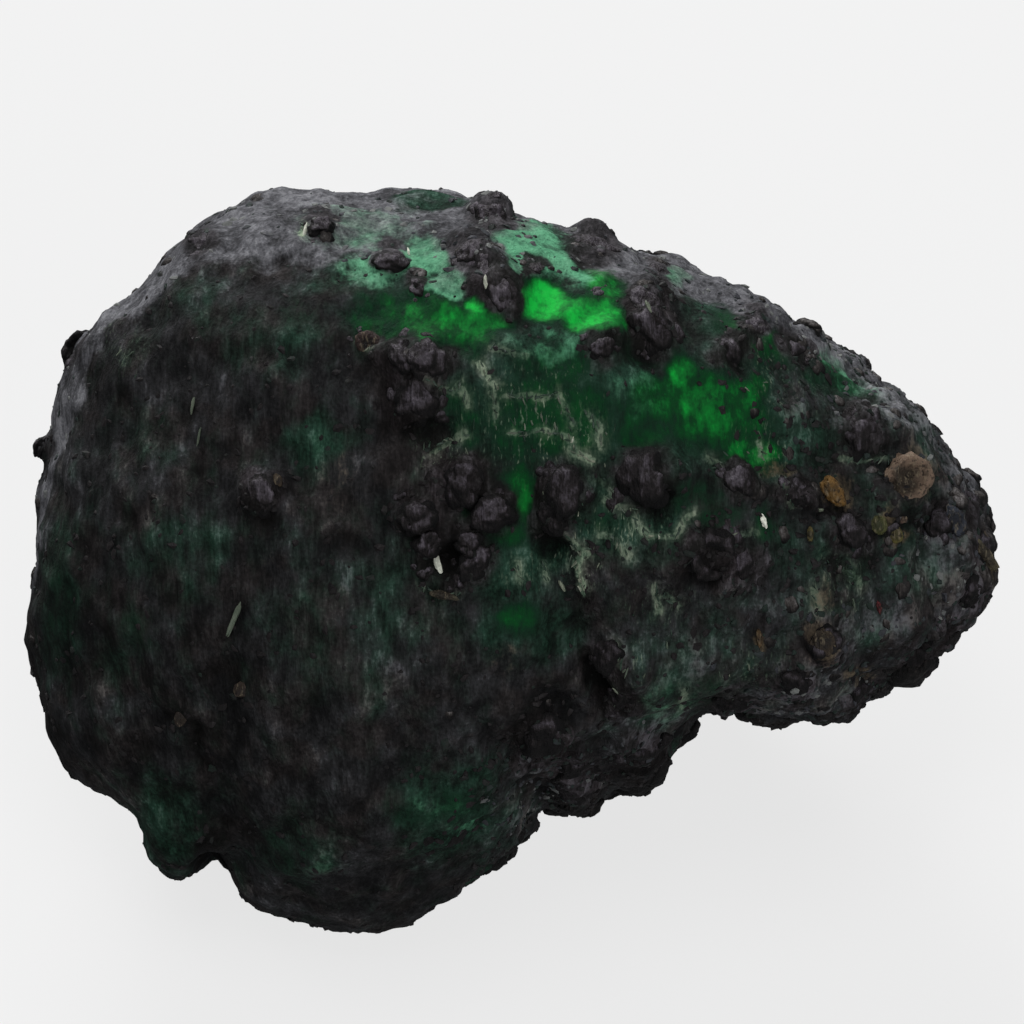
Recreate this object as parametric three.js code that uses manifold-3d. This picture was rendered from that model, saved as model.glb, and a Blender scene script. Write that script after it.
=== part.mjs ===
// A rough emerald as it comes from the mine: one lump of dark mica schist grown through with green
// beryl, with knots of black mica standing out all over it. It is one solid, and it rests on a flat
// broken face. Millimetres, +Z up, X along the stone, origin on the resting face under the middle.
import * as THREE from "three";
import { ImprovedNoise } from "three/addons/math/ImprovedNoise.js";
import { ConvexHull } from "three/addons/math/ConvexHull.js";
import { mergeVertices } from "three/addons/utils/BufferGeometryUtils.js";
import Module from "manifold-3d";

const wasm = await Module();
wasm.setup();
const perlin = new ImprovedNoise();

// ---- driving dimensions -------------------------------------------------------------------------
const FACE_TILT = 50; // degrees above the horizon that the stone's broad face looks
const FACE_BULGE = 12.3; // from the girdle out to the broad face
const BACK_BULGE = 14; // from the girdle out to the far side
const REST_DEPTH = 12.2; // from the stone's middle down to the resting face
const BODY_POINTS = 3000; // spread evenly over the body, besides those that draw its features
const LINE_STEP = 0.85; // between the points along a groove or a ledge
const GIRDLE_STEP = 2.6; // degrees between the points along the girdle
const NOTCHED = [200, 345]; // bearings between which the girdle is notched right through
const NOTCH_HEIGHTS = [-40, -32, -24, -16, -8, 8, 16]; // degrees off the girdle, points in a notch
const LEAST_GAP = 0.36; // between two points of the surface
const FEATURE_GAP = 0.72; // between a point of the plain body and one that draws a feature
const CREST = { up: 11, spread: 5, swell: 0.16 }; // a shoulder along the top of the broad face

// The girdle is the stone's widest outline, in the plane square to its broad face:
// [bearing in degrees from the pointed end, reach in mm].
const GIRDLE = [
  [0, 24.3], [6, 24.1], [14, 22.2], [24, 19.05], [36, 17.9], [48, 17.4], [60, 16.5], [72, 15.7],
  [84, 16.3], [96, 17.0], [108, 17.9], [120, 19.9], [132, 20.4], [144, 20.5], [156, 21.2],
  [168, 20.7], [180, 20.6], [192, 21.3], [204, 21.4], [212, 20.7], [217, 20.1], [222, 20.8],
  [226, 21.1], [230, 19.25], [234, 19.1], [242, 18.8], [250, 18.2], [258, 17.0], [264, 15.9],
  [270, 14.5], [276, 13.5], [282, 11.25], [288, 11.8], [294, 12.8], [300, 12.05], [306, 13.5],
  [312, 13.8], [317, 12.5], [322, 12.85], [327, 13.3], [331, 15.0], [336, 18.3], [342, 19.1],
  [348, 21.2], [354, 23.3],
];
const BROAD_SPAN = 26; // degrees to each side over which the girdle is evened out for the faces
const EDGE_POWER = 5; // how closely the girdle's notches keep to the edge

// Grooves in the broad face: the line, as [across, up] from the middle, the width, and the depth
// where the line starts and where it ends.
const GROOVES = [
  { line: [[-12.3, -14.2], [-11.9, -11.2], [-12.6, -6.8]], width: 1.3, from: 1.3, to: 0.3 },
  { line: [[3.4, 0.6], [4.4, -2.9], [5.9, -6.6]], width: 0.9, from: 0.6, to: 1.1 },
  { line: [[0.4, -8.2], [3.2, -9.4], [5.8, -11.4]], width: 1.0, from: 0.5, to: 1.0 },
];

// Ledges, where the schist below a line has split away. A line runs with the drop on its right.
const LEDGES = [
  {
    line: [
      [1.4, -7.2], [4.8, -8.2], [7.8, -7.0], [10.6, -5.7], [14.2, -5.2], [17.6, -4.3], [20.2, -2.4],
    ],
    drop: 0.75,
  },
  { line: [[-4.6, -14.6], [-1.4, -12.6], [0.6, -9.9], [1.6, -7.4]], drop: 0.6 },
  { line: [[9.4, -1.6], [13.0, -1.2], [16.4, 0.0], [19.6, 0.4]], drop: 0.4 },
];
const LEDGE_WALL = 0.5; // width of the wall under a ledge
const LEDGE_FOOT = { from: 2, by: 5 }; // how far below a ledge the split ground rises back
const LEDGE_ENDS = 0.2; // share of its line over which a ledge dies out at each end

// Grooves and ledges run out behind the girdle between these heights on the unit sphere.
const RUN_OUT = { by: -0.35, from: 0.1 };

// Broken faces of the far side: the bearing and the height, in degrees, that each looks to, and
// how far it lies from the middle. Their edges are worn round over WEAR mm.
const BROKEN_FACES = [
  { bearing: 62, height: 12, distance: 16.2 },
  { bearing: 128, height: 30, distance: 15.4 },
  { bearing: 172, height: -24, distance: 18.4 },
  { bearing: 100, height: -38, distance: 13.2 },
  { bearing: 28, height: -34, distance: 16.6 },
];
const WEAR = 1.6;
const BROKEN_BY = 0.5; // height behind the girdle, on the unit sphere, by which they cut in full

// Relief of the schist: [size of a swell, height], and how much rougher the pointed end is.
const RELIEF = [[10, 0.9], [4.2, 0.5], [2.1, 0.28], [1.3, 0.12]];
const POINT_ROUGHNESS = { from: 6, by: 18, more: 0.9 }; // along the stone, in mm

// Knots of mica on the broad face, [across, up, radius], set row by row from the top.
const KNOTS = [
  [-12.8, 14.6, 0.75], [-7.2, 15.3, 0.7], [0.6, 15.9, 1.0], [5.3, 14.5, 1.2], [8.1, 13.3, 0.5],
  [-4.0, 13.6, 0.75], [-2.8, 12.3, 0.5], [-0.5, 14.1, 0.9], [0.3, 13.1, 1.0], [1.2, 11.9, 0.9],
  [2.6, 13.3, 0.5], [5.3, 12.2, 0.45], [7.5, 11.8, 0.95], [7.8, 10.4, 1.05], [5.5, 9.6, 0.75],
  [11.3, 9.6, 0.8], [12.6, 10.7, 0.8], [14.4, 9.7, 0.75], [-5.1, 9.9, 0.6], [-2.3, 9.1, 1.2],
  [-3.6, 9.2, 0.9], [-2.8, 7.0, 1.2], [-3.9, 7.4, 0.7], [-18.8, 9.9, 0.8], [-20.5, 5.2, 0.6],
  [-9.7, 3.0, 1.3], [-2.8, 1.9, 1.05], [-0.7, 3.5, 1.2], [0.6, 2.1, 0.95], [-2.2, 0.7, 0.7],
  [-0.5, 0.9, 0.75], [-0.1, -0.1, 0.85], [3.8, 3.0, 1.2], [3.2, 1.7, 0.9], [7.3, 3.6, 1.4],
  [11.8, 3.7, 0.95], [10.4, 0.2, 1.25], [11.9, -0.2, 0.95], [14.3, 3.2, 0.8], [17.3, 6.0, 1.25],
  [16.0, 3.1, 0.8], [16.9, 1.4, 0.95], [18.7, 1.5, 0.6], [21.0, 1.7, 0.9], [22.8, 2.7, 0.85],
  [23.3, 0.5, 0.9], [22.6, -1.5, 0.75], [21.4, -3.0, 0.65], [20.0, -4.7, 0.9], [17.4, -6.1, 0.8],
  [15.7, -3.7, 1.0], [14.2, -5.6, 0.85], [5.7, -4.4, 1.15], [6.2, -6.2, 0.85], [2.8, -8.1, 1.35],
  [4.3, -9.6, 1.15], [7.4, -8.8, 1.1], [11.4, -6.6, 0.9],
];
const RING_KNOT = { across: 19.6, up: 3.7, radius: 1.3, dimple: 0.55 }; // iron-stained, hollow top
const KNOT_HEIGHT = 0.78; // how far a knot stands out, against its radius
const KNOT_LUMPINESS = 0.7;
const DIMPLE_SHARE = 0.42; // a hollow top's radius, against its knot's
// Points that draw a knot: [distance from its middle against its radius, points to a ring].
const KNOT_RINGS = [[0, 1], [0.52, 6], [0.88, 9], [1.08, 11]];
const RING_KNOT_RINGS = [[0, 1], [0.3, 7], [0.55, 9], [0.88, 11], [1.08, 13]];

// Knots on the far side and the flanks, spread evenly by the golden angle.
const FAR_KNOTS = { count: 34, lowest: -0.98, highest: -0.05, smallest: 0.6, largest: 1.35 };

// ---- the stone's own frame ----------------------------------------------------------------------
const tilt = THREE.MathUtils.degToRad(FACE_TILT);
const ACROSS = new THREE.Vector3(1, 0, 0);
const UP = new THREE.Vector3(0, Math.sin(tilt), Math.cos(tilt));
const OUT = new THREE.Vector3(0, -Math.cos(tilt), Math.sin(tilt));

const GOLDEN_SHARE = (Math.sqrt(5) - 1) / 2; // of a full turn, from one point of a spiral to the next
const smoothstep = (x, low, high) => THREE.MathUtils.smoothstep(x, low, high);
const noiseAt = (p, size) => perlin.noise(p.x / size + 31.7, p.y / size + 11.3, p.z / size + 5.1);

// The unit vector at a bearing round an upright axis and a height above its level, in degrees.
function directionAt(bearing, height) {
  const [turn, rise] = [bearing, height].map(THREE.MathUtils.degToRad);
  const spread = Math.cos(rise);
  return new THREE.Vector3(spread * Math.cos(turn), spread * Math.sin(turn), Math.sin(rise));
}

// The girdle's reach at a bearing in degrees, on a smooth closed curve through its points.
function girdleReach(bearing) {
  const turn = THREE.MathUtils.euclideanModulo(bearing, 360);
  const count = GIRDLE.length;
  let i = count - 1;
  while (GIRDLE[i][0] > turn) i--;
  const point = (k) => {
    const wraps = Math.floor(k / count);
    const [at, reach] = GIRDLE[THREE.MathUtils.euclideanModulo(k, count)];
    return [at + 360 * wraps, reach];
  };
  const [before, from, to, after] = [i - 1, i, i + 1, i + 2].map(point);
  const span = to[0] - from[0];
  const t = (turn - from[0]) / span;
  const slopeFrom = ((to[1] - before[1]) / (to[0] - before[0])) * span;
  const slopeTo = ((after[1] - from[1]) / (after[0] - from[0])) * span;
  const h = t * t * (3 - 2 * t);
  return (
    from[1] * (1 - h) + to[1] * h + slopeFrom * t * (1 - t) * (1 - t) - slopeTo * t * t * (1 - t)
  );
}

// The same reach evened out, which the faces follow away from the edge.
function broadReach(bearing) {
  const samples = 9;
  let sum = 0;
  for (let i = 0; i < samples; i++) {
    sum += girdleReach(bearing + BROAD_SPAN * ((2 * i) / (samples - 1) - 1));
  }
  return sum / samples;
}

// The nearest place on a broken line to [across, up]: how far off, how far to its right, and how
// far along the line, as a share of its length.
function nearestOnLine(across, up, line) {
  const place = new THREE.Vector3(across, up, 0);
  const corners = line.map(([x, y]) => new THREE.Vector3(x, y, 0));
  let nearest = { gap: Infinity };
  for (let i = 0; i < corners.length - 1; i++) {
    const stretch = new THREE.Line3(corners[i], corners[i + 1]);
    const share = stretch.closestPointToPointParameter(place, true);
    const off = place.clone().sub(stretch.at(share, new THREE.Vector3()));
    const gap = off.length();
    const right = gap * Math.sign(off.cross(stretch.delta(new THREE.Vector3())).z);
    if (gap < nearest.gap) nearest = { gap, right, along: (i + share) / (corners.length - 1) };
  }
  return nearest;
}

function grooveDepth(across, up, { line, width, from, to }) {
  const { gap, along } = nearestOnLine(across, up, line);
  return THREE.MathUtils.lerp(from, to, along) * Math.exp(-((gap / width) ** 2));
}

// A ledge dies out towards the ends of its line, and away from its foot.
function ledgeDrop(across, up, { line, drop }) {
  const { right, along } = nearestOnLine(across, up, line);
  const ends = smoothstep(along, 0, LEDGE_ENDS) * smoothstep(1 - along, 0, LEDGE_ENDS);
  const foot = 1 - smoothstep(right, LEDGE_FOOT.from, LEDGE_FOOT.by);
  return drop * ends * foot * smoothstep(right, 0, LEDGE_WALL);
}

// How far a point has to draw in to lie behind the broken faces, with their edges worn round.
function brokenAway(point) {
  let gone = 0;
  for (const { bearing, height, distance } of BROKEN_FACES) {
    const over = point.dot(directionAt(bearing, height)) - distance;
    gone += WEAR * Math.log1p(Math.exp(over / WEAR));
  }
  return gone;
}

// ---- the body -----------------------------------------------------------------------------------
// A unit direction, given as (across, up, out), becomes a point of the smooth body.
function smoothPoint(direction) {
  const { x: across, y: up, z: out } = direction;
  const spread = Math.hypot(across, up);
  const bearing = THREE.MathUtils.radToDeg(Math.atan2(up, across));
  const edge = spread ** EDGE_POWER;
  const reach = broadReach(bearing) * (1 - edge) + girdleReach(bearing) * edge;
  const shoulder = 1 + CREST.swell * Math.exp(-(((up * reach - CREST.up) / CREST.spread) ** 2));
  const bulge = out > 0 ? FACE_BULGE * shoulder : BACK_BULGE;
  const point = new THREE.Vector3()
    .addScaledVector(ACROSS, across * reach)
    .addScaledVector(UP, up * reach)
    .addScaledVector(OUT, out * bulge);
  const gone = brokenAway(point) * smoothstep(-out, 0, BROKEN_BY);
  return point.setLength(point.length() - gone);
}

// How far the schist's swells and the grooves lift or sink the smooth body there.
function relief(direction, point) {
  const { from, by, more } = POINT_ROUGHNESS;
  const rougher = 1 + more * smoothstep(point.x, from, by);
  let height = 0;
  for (const [size, amount] of RELIEF) height += amount * rougher * noiseAt(point, size);
  const [across, up] = [point.dot(ACROSS), point.dot(UP)];
  const facing = smoothstep(direction.z, RUN_OUT.by, RUN_OUT.from);
  for (const groove of GROOVES) height -= facing * grooveDepth(across, up, groove);
  for (const ledge of LEDGES) height -= facing * ledgeDrop(across, up, ledge);
  return height;
}

// Which way the smooth body faces at a direction, by the tangents on either side of it.
function surfaceNormal(direction) {
  const step = 0.02;
  const side = new THREE.Vector3(0, 0, 1);
  if (Math.abs(direction.z) > 0.9) side.set(1, 0, 0);
  const a = new THREE.Vector3().crossVectors(side, direction).normalize();
  const b = new THREE.Vector3().crossVectors(direction, a);
  const along = (axis, sign) =>
    smoothPoint(direction.clone().addScaledVector(axis, sign * step).normalize());
  const u = along(a, 1).sub(along(a, -1));
  const v = along(b, 1).sub(along(b, -1));
  return u.cross(v).normalize();
}

// ---- the knots ----------------------------------------------------------------------------------
// The direction whose point on the smooth body lies at [across, up] of the broad face, and how far
// beyond the girdle [across, up] is.
function faceDirection(across, up) {
  const spread = Math.hypot(across, up);
  const reach = girdleReach(THREE.MathUtils.radToDeg(Math.atan2(up, across)));
  const share = Math.min(spread / reach, 1);
  const direction = new THREE.Vector3(across, up, 0)
    .multiplyScalar(share / spread)
    .setZ(Math.sqrt(1 - share * share));
  return { direction, beyond: Math.max(spread - reach, 0) };
}

// A knot on the smooth body at a direction. A spur is how much further it stands out.
function knotAt(direction, radius, dimple = 0, spur = 0) {
  const height = KNOT_HEIGHT * radius + spur;
  const middle = smoothPoint(direction);
  return { direction, radius, height, dimple, middle, normal: surfaceNormal(direction) };
}

// A knot at [across, up] of the broad face. One set beyond the girdle reaches out to there.
function faceKnot(across, up, radius, dimple) {
  const { direction, beyond } = faceDirection(across, up);
  return knotAt(direction, radius, dimple, beyond);
}

function faceKnots() {
  const { across, up, radius, dimple } = RING_KNOT;
  return [faceKnot(across, up, radius, dimple), ...KNOTS.map((knot) => faceKnot(...knot))];
}

function farKnots() {
  const { count, lowest, highest, smallest, largest } = FAR_KNOTS;
  return Array.from({ length: count }, (_, i) => {
    const direction = spiralDirection(i, count, lowest, highest);
    return knotAt(direction, smallest + (largest - smallest) * ((i * 3 * GOLDEN_SHARE) % 1));
  });
}

// How far the knots stand out at a point of the smooth body, and which way.
function knotLift(knots, point) {
  const lift = new THREE.Vector3();
  for (const { middle, normal, radius, height, dimple } of knots) {
    const away = point.distanceTo(middle) / radius;
    if (away > 1) continue;
    const dome = Math.sqrt(1 - away * away) * (1 + KNOT_LUMPINESS * noiseAt(point, radius));
    const rise = height * (dome - dimple * Math.exp(-((away / DIMPLE_SHARE) ** 2)));
    if (rise > lift.length()) lift.copy(normal).multiplyScalar(rise);
  }
  return lift;
}

// ---- the surface's points -----------------------------------------------------------------------
// The i-th of count directions on a golden spiral, between two heights on the unit sphere.
function spiralDirection(i, count, lowest = -1, highest = 1) {
  const out = lowest + ((highest - lowest) * (i + 0.5)) / count;
  const turn = 2 * Math.PI * GOLDEN_SHARE * i;
  const spread = Math.sqrt(1 - out * out);
  return new THREE.Vector3(spread * Math.cos(turn), spread * Math.sin(turn), out);
}

// Directions on rings about a knot, so that its dome and its foot are drawn.
function knotDirections({ direction, radius, dimple }) {
  const rings = dimple ? RING_KNOT_RINGS : KNOT_RINGS;
  const side = new THREE.Vector3(0, 0, 1);
  if (Math.abs(direction.z) > 0.9) side.set(1, 0, 0);
  const a = new THREE.Vector3().crossVectors(side, direction).normalize();
  const b = new THREE.Vector3().crossVectors(direction, a);
  const middle = smoothPoint(direction);
  return rings.flatMap(([share, count]) =>
    Array.from({ length: count }, (_, i) => {
      const turn = (2 * Math.PI * (i + share)) / count;
      const axis = a.clone().multiplyScalar(Math.cos(turn)).addScaledVector(b, Math.sin(turn));
      const probe = direction.clone().addScaledVector(axis, 0.01).normalize();
      const angle = (0.01 * share * radius) / smoothPoint(probe).distanceTo(middle);
      return direction.clone().addScaledVector(axis, Math.tan(angle)).normalize();
    }),
  );
}

// Directions round the girdle, and in rows off it that keep to the walls of its notches.
function girdleDirections() {
  const notched = GIRDLE.filter(([bearing]) => bearing > NOTCHED[0] && bearing < NOTCHED[1]);
  const walls = notched.flatMap(([bearing]) =>
    [0, ...NOTCH_HEIGHTS].map((height) => directionAt(bearing, height)),
  );
  const count = Math.round(360 / GIRDLE_STEP);
  const round = Array.from({ length: count }, (_, i) => directionAt(GIRDLE_STEP * i, 0));
  return [...walls, ...round];
}

// Directions along a line on the broad face, in rows at some distances to its right.
function lineDirections(line, rows) {
  const path = new THREE.Path(line.map(([x, y]) => new THREE.Vector2(x, y)));
  const count = Math.ceil(path.getLength() / LINE_STEP);
  return rows.flatMap((right) =>
    Array.from({ length: count + 1 }, (_, i) => {
      const { x, y } = path.getPointAt(i / count);
      const way = path.getTangentAt(i / count);
      return faceDirection(x + right * way.y, y - right * way.x).direction;
    }),
  );
}

// Every direction that the surface has a point at, none too near another.
function surfaceDirections(knots) {
  const kept = [];
  const keep = (directions, gap) => {
    const fresh = directions.map((direction) => ({ direction, point: smoothPoint(direction) }));
    const isClear = ({ point }) => kept.every((other) => other.point.distanceTo(point) > gap);
    kept.push(...fresh.filter(isClear));
  };
  knots.forEach((knot) => keep(knotDirections(knot), LEAST_GAP));
  LEDGES.forEach(({ line }) => keep(lineDirections(line, [0, LEDGE_WALL]), LEAST_GAP));
  GROOVES.forEach(({ line, width }) => keep(lineDirections(line, [-width, 0, width]), LEAST_GAP));
  girdleDirections().forEach((direction) => keep([direction], FEATURE_GAP));
  const plain = Array.from({ length: BODY_POINTS }, (_, i) => spiralDirection(i, BODY_POINTS));
  keep(plain, FEATURE_GAP);
  return kept;
}

// ---- the whole stone ----------------------------------------------------------------------------
function solidOf(geometry) {
  geometry.deleteAttribute("normal");
  geometry.deleteAttribute("uv");
  const closed = mergeVertices(geometry);
  return new wasm.Manifold(
    new wasm.Mesh({
      numProp: 3,
      vertProperties: closed.attributes.position.array,
      triVerts: new Uint32Array(closed.index.array),
    }),
  );
}

// The hull of directions on the unit sphere joins each to its neighbours in even triangles.
function makeBody() {
  const knots = [...faceKnots(), ...farKnots()];
  const surface = surfaceDirections(knots);
  const places = new Map(
    surface.map(({ direction, point }) => {
      const raised = point.clone().addScaledVector(point.clone().normalize(), relief(direction, point));
      return [direction, raised.add(knotLift(knots, point))];
    }),
  );
  const corners = [];
  for (const face of new ConvexHull().setFromPoints([...places.keys()]).faces) {
    let edge = face.edge;
    do {
      corners.push(places.get(edge.head().point));
      edge = edge.next;
    } while (edge !== face.edge);
  }
  return solidOf(new THREE.BufferGeometry().setFromPoints(corners));
}

// The body with its underside broken off flat.
function makeStone() {
  const side = 100;
  const ground = new THREE.BoxGeometry(side, side, side).translate(0, 0, -REST_DEPTH - side / 2);
  return makeBody().subtract(solidOf(ground));
}

function geometryOf(solid) {
  const mesh = solid.getMesh();
  const geometry = new THREE.BufferGeometry()
    .setAttribute("position", new THREE.BufferAttribute(mesh.vertProperties, 3))
    .setIndex(new THREE.BufferAttribute(mesh.triVerts, 1));
  geometry.computeBoundingBox();
  return geometry;
}

const geometry = geometryOf(makeStone());
const { min, max } = geometry.boundingBox;
geometry.translate(-(min.x + max.x) / 2, -(min.y + max.y) / 2, REST_DEPTH);
geometry.computeVertexNormals();

const stone = new THREE.Mesh(
  geometry,
  new THREE.MeshStandardMaterial({ color: 0x232b28, roughness: 0.75, metalness: 0 }),
);
stone.name = "rough_emerald";

const group = new THREE.Group();
group.add(stone);
export default group;
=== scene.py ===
import math
import random

import bmesh
import bpy
import numpy as np
from mathutils import Matrix, Vector, noise
from mathutils.bvhtree import BVHTree


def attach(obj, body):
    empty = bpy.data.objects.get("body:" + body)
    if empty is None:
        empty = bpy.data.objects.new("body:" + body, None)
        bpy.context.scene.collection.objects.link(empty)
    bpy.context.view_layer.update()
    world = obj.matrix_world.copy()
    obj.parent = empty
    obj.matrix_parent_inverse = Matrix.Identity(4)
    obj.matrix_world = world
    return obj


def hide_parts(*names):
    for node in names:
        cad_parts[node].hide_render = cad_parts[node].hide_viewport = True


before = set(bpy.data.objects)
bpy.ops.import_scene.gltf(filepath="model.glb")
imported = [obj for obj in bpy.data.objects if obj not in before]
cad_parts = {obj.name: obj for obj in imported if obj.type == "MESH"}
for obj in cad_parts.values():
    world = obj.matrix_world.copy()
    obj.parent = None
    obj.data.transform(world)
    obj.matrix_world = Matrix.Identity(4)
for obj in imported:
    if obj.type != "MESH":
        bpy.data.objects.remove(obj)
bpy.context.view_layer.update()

# ---- The lump ----
# One lump of mica schist and green beryl, broken out of the rock and never cut: a smooth round end,
# a pointed end, a cleft between two lobes, and ledges. The plain solid is drawn again here in a fine
# mesh, and its crust, its knots' feet, its pits and its clear green windows are worked into it.
MM = 0.001
FACE_TILT = math.radians(50)  # how far back the broad face leans from upright
ACROSS = Vector((1, 0, 0))
UP = Vector((0, math.sin(FACE_TILT), math.cos(FACE_TILT)))
OUT = Vector((0, -math.cos(FACE_TILT), math.sin(FACE_TILT)))
AXES = np.array((ACROSS, UP, OUT)).T
MIDDLE = Vector((-1.48, -0.50, 12.2)) * MM
FINE_STEP = 0.236 * MM
ROUND_OFF = 7  # passes that round off the plain solid's facets
FLATTEN = 45  # further passes that take the knots away, to find how far each place stands proud
CLEAR_OF_TABLE = 0.05  # mm above the table, below which the crust is left flat
BEHIND = -2.5  # mm behind the middle, by which the broad face's own markings have ended
# Where the broad face starts to roll over towards the back: how far up it, and out of it, in mm.
ROLL = [(-8, -0.5), (4, 3.5)]
CARRIED = 0.8  # how far the markings are carried on over the rim, against its depth

# The big knots of mica: along the face, up it, and radius, in mm.
KNOTS = [
    (-12.8, 14.6, 0.75), (-7.2, 15.3, 0.7), (0.6, 15.9, 1), (5.3, 14.5, 1.2), (8.1, 13.3, 0.5),
    (-4, 13.6, 0.75), (-2.8, 12.3, 0.5), (-0.5, 14.1, 0.9), (0.3, 13.1, 1), (1.2, 11.9, 0.9),
    (2.6, 13.3, 0.5), (5.3, 12.2, 0.45), (7.5, 11.8, 0.95), (7.8, 10.4, 1.05), (5.5, 9.6, 0.75),
    (11.3, 9.6, 0.8), (12.6, 10.7, 0.8), (14.4, 9.7, 0.75), (-5.1, 9.9, 0.6), (-2.3, 9.1, 1.2),
    (-3.6, 9.2, 0.9), (-2.8, 7, 1.2), (-3.9, 7.4, 0.7), (-19, 10, 1.05), (-20.5, 5.2, 0.6),
    (-9.7, 3, 1), (-2.8, 1.9, 1.05), (-0.7, 3.5, 1.2), (0.6, 2.1, 0.95), (-2.2, 0.7, 0.7),
    (-0.5, 0.9, 0.75), (-0.1, -0.1, 0.85), (-2.4, -0.5, 0.5), (-0.9, -1, 0.55), (3.8, 3, 1.2),
    (3.2, 1.7, 0.9), (7.3, 3.6, 1.4), (11.8, 3.7, 0.95), (10.4, 0.2, 1.25), (11.9, -0.2, 0.95),
    (14.3, 3.2, 0.8), (17.3, 6, 1.25), (16.9, 1.4, 0.95), (18.7, 1.5, 0.6), (21, 1.7, 0.9),
    (22.8, 2.7, 0.85), (23.3, 0.5, 0.9), (22.6, -1.5, 0.75), (21.4, -3, 0.65), (20, -4.7, 0.9),
    (17.4, -6.1, 0.8), (15.7, -3.7, 1), (14.2, -5.6, 0.85), (5.7, -4.4, 1.15), (6.2, -6.2, 0.85),
    (2.8, -8.1, 1.35), (4.3, -9.6, 1.15), (7.4, -8.8, 1.1), (11.4, -6.6, 0.9),
]
# Where clear green beryl shows: middle along the face and up it, half width, half height, strength,
# and the turn in degrees if it is turned.
WINDOWS = [
    (2.7, 11.6, 1.2, 1, 1, -10), (5, 11.1, 2, 1.1, 0.9, -16), (5.4, 12.7, 1.4, 1.3, 0.66),
    (-0.1, 11.5, 0.6, 0.85, 1), (0.4, 10.7, 1.2, 0.7, 0.72), (-1.5, 10.5, 3, 1.5, 0.62, -6),
    (-4.6, 10.9, 1.8, 1.4, 0.4), (9.1, 8.5, 1.2, 1, 0.68), (8, 7.4, 1.6, 1.6, 0.46),
    (10.4, 6.8, 3, 2.2, 0.56, -24), (11.8, 7.6, 1.4, 1.1, 0.55), (11.3, 5.3, 1.6, 1, 0.6, -30),
    (12.6, 4.8, 1.1, 0.9, 0.56, -40), (7.6, 9.8, 1.2, 0.9, 0.36), (1.8, 2.8, 1, 1.9, 0.54),
    (1.5, 1.2, 1, 0.9, 0.36), (0, 1.5, 1, 0.6, 0.36, -50), (1.7, -2.6, 1.2, 0.9, 0.42, 10),
    (3.2, 6.4, 3.8, 2.6, 0.36), (-0.7, 6.5, 1.3, 2, 0.3), (3.4, 8.9, 2.2, 1.4, 0.32),
    (7.4, 6, 1.8, 1.4, 0.34), (9.4, 3, 2.4, 1, 0.24), (5.8, 1.8, 1.4, 1, 0.24),
    (-13, 0.6, 3, 1.8, 0.08), (-15.4, -3.4, 1.6, 2, 0.14), (-7.3, 5.5, 1, 1.2, 0.06),
    (-12.6, 12.2, 2, 1.2, 0.06), (-1.2, -10.9, 1.6, 1.2, 0.22), (-3.2, -11.2, 1.6, 1.2, 0.2),
    (-19, -2, 1, 3.6, 0.16), (-14.5, -11.6, 1.5, 2.2, 0.1, 30), (16, 8.6, 2.6, 1.4, 0.3, -35),
    (9.6, -6, 3, 1.5, 0.14, 8), (-6.6, -5.4, 2.6, 1.8, 0.1), (10.8, 1.9, 1.6, 0.8, 0.22),
    (-8.6, -13.2, 2, 1.4, 0.14), (12.4, 10, 2.8, 1.2, 0.34, -25), (-8, 11.4, 2, 1, 0.16),
    (12.9, 1.6, 0.9, 1.2, 0.26),
]
# Where the green is clouded, milky beryl along the top shoulder, with a smear or two lower down.
CLOUDS = [
    (-2.1, 13.8, 1.7, 1.1, 1), (-4.3, 13.1, 2, 0.9, 0.55), (-1.6, 12.4, 1.2, 0.6, 0.85),
    (2.1, 15, 1.7, 1, 1.1, -8), (2.3, 13.8, 1.5, 1.2, 1.1), (3.8, 13.2, 1.2, 0.9, 0.9, -20),
    (-5.6, 15.2, 3, 1.3, 0.5), (3.4, 9.6, 2.2, 1, 0.22), (7, 7.6, 1.6, 1.4, 0.15),
    (8.6, 13, 1, 0.8, 0.8, -24), (-0.7, -11.9, 1, 1.3, 0.2), (-2.4, -10.6, 1.2, 1, 0.12),
    (10.4, -3.2, 2, 1.6, 0.06), (8.4, -6.4, 2, 1.3, 0.13), (-7, 5.2, 0.8, 0.9, 0.08),
    (-14.2, -13.4, 0.8, 1, 0.08), (-7.6, -14.2, 1.2, 1, 0.15), (16.6, 8.4, 2, 1, 0.2, -35),
]
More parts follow.
